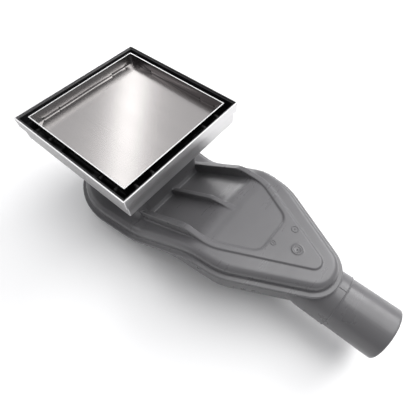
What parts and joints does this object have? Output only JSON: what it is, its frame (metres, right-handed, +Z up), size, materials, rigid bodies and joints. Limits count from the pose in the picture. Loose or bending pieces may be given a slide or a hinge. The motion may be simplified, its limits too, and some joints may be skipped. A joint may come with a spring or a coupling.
{
  "type": "floor drain",
  "caption": "Square tile-in floor drain: steel frame and tile tray over a black channel, on a low two-shell trap body with a ramp and a round side outlet.",
  "frame": {"origin": "on the vertical axis of the drain's inlet, on the flat underside of the bowl", "axes": "+X from the inlet towards the outlet, +Z up through the frame"},
  "size_m": [0.374, 0.15, 0.13],
  "materials": {
    "body_plastic": "satin moulded polypropylene",
    "seal_rubber": "soft black rubber",
    "pad_rubber": "soft black rubber",
    "frame_steel": "brushed along each side",
    "tray_steel": "fine brushed",
    "fixing_steel": "plain stainless",
    "channel_plastic": "black moulded plastic",
    "insert_plastic": "moulded polypropylene",
    "flap_plastic": "moulded polypropylene",
    "strainer_plastic": "moulded polypropylene"
  },
  "bodies": {
    "root": {"upper_shell": "body_plastic", "lower_shell": "body_plastic", "neck_seal": "seal_rubber"},
    "frame": {"frame_rim": "frame_steel", "frame_channel": "channel_plastic", "channel_spigot": "channel_plastic", "frame_screws": "fixing_steel", "tray_rest_pads": "pad_rubber"},
    "tray": {"tile_tray": "tray_steel", "tray_spacers": "channel_plastic"},
    "strainer": {"strainer_basket": "strainer_plastic", "strainer_grid": "strainer_plastic", "strainer_handle": "strainer_plastic"},
    "insert": {"insert_tube": "insert_plastic", "valve_seat": "insert_plastic", "insert_oring": "seal_rubber", "flap_pin_left": "fixing_steel", "flap_pin_right": "fixing_steel", "flap_spring_left": "fixing_steel", "flap_spring_right": "fixing_steel"},
    "left_flap": {"flap_left": "flap_plastic", "flap_seal_left": "seal_rubber"},
    "right_flap": {"flap_right": "flap_plastic", "flap_seal_right": "seal_rubber"}
  },
  "joints": [
    {"name": "frame_height", "type": "slide", "parent": "root", "child": "frame", "axis": [0, 0, 1], "range_m": [0, 0.03]},
    {"name": "tray_lift", "type": "slide", "parent": "frame", "child": "tray", "axis": [0, 0, 1], "range_m": [0, 0.3]},
    {"name": "strainer_lift", "type": "slide", "parent": "root", "child": "strainer", "axis": [0, 0, 1], "range_m": [0, 0.211]},
    {"name": "insert_lift", "type": "slide", "parent": "root", "child": "insert", "axis": [0, 0, 1], "range_m": [0, 0.131]},
    {"name": "left_flap_swing", "type": "hinge", "parent": "insert", "child": "left_flap", "pos_m": [-0.0034, 0, 0.0496], "axis": [0, -1, 0], "range_deg": [0, 70], "stiffness_Nm_per_rad": 0.001, "springref_deg": -34.38, "deforming": ["flap_spring_left"]},
    {"name": "right_flap_swing", "type": "hinge", "parent": "insert", "child": "right_flap", "pos_m": [0.0034, 0, 0.0496], "axis": [0, 1, 0], "range_deg": [0, 70], "stiffness_Nm_per_rad": 0.001, "springref_deg": -34.38, "deforming": ["flap_spring_right"]}
  ],
  "couplings": [
    {"joint": "strainer_lift", "follows": "tray_lift", "ratio": 0.7},
    {"joint": "insert_lift", "follows": "tray_lift", "ratio": 0.433}
  ]
}
